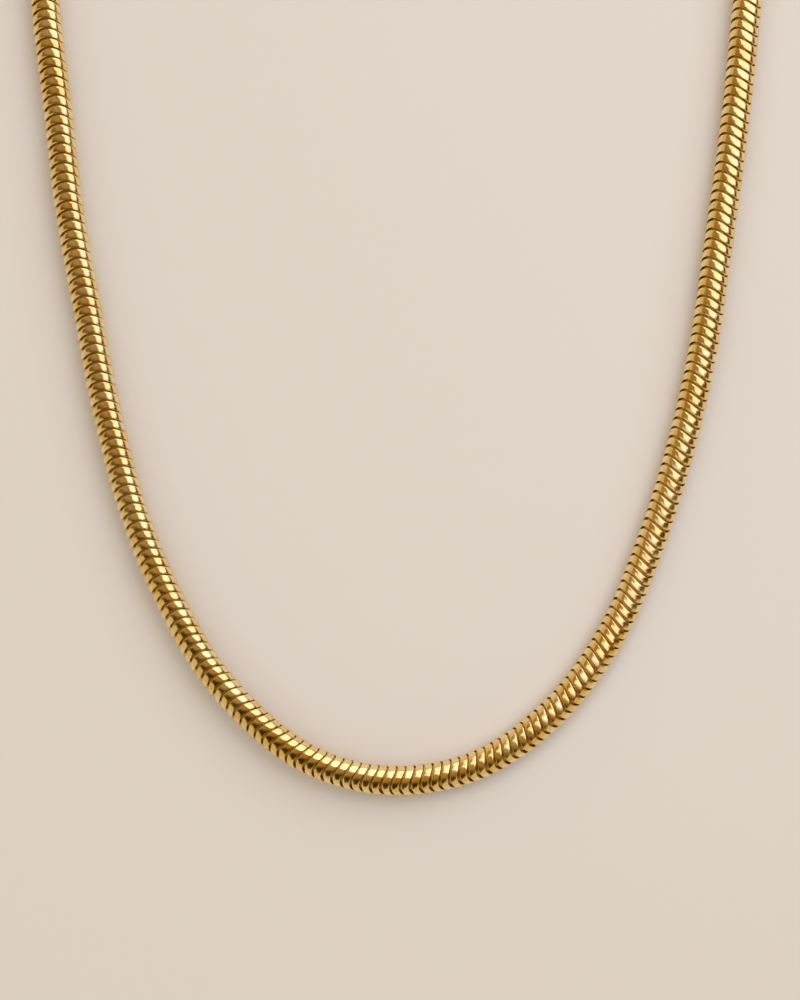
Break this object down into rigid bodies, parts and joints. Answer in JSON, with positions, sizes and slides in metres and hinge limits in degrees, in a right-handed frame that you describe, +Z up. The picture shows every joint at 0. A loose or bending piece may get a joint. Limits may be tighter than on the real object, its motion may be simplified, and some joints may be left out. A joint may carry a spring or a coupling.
{
  "type": "snake chain necklace",
  "caption": "Round gold-coloured snake chain necklace, a closed smooth loop of nested wavy links with a plain barrel clasp, lying flat.",
  "frame": {"origin": "on the table, under the middle of the box round the whole loop, as the necklace lies flat", "axes": "+Y from the front of the loop to the clasp at the back of the neck, +Z up from the table, +X to the right seen from above"},
  "size_m": [0.097, 0.1622, 0.0064],
  "materials": {
    "chain_gold": "polished gold plating on brass, links slightly worn, dark in the slits",
    "clasp_gold": "polished gold plating on brass with fine turning marks"
  },
  "bodies": {
    "root": {"snake_chain": "chain_gold", "barrel_clasp": "clasp_gold"}
  },
  "joints": []
}
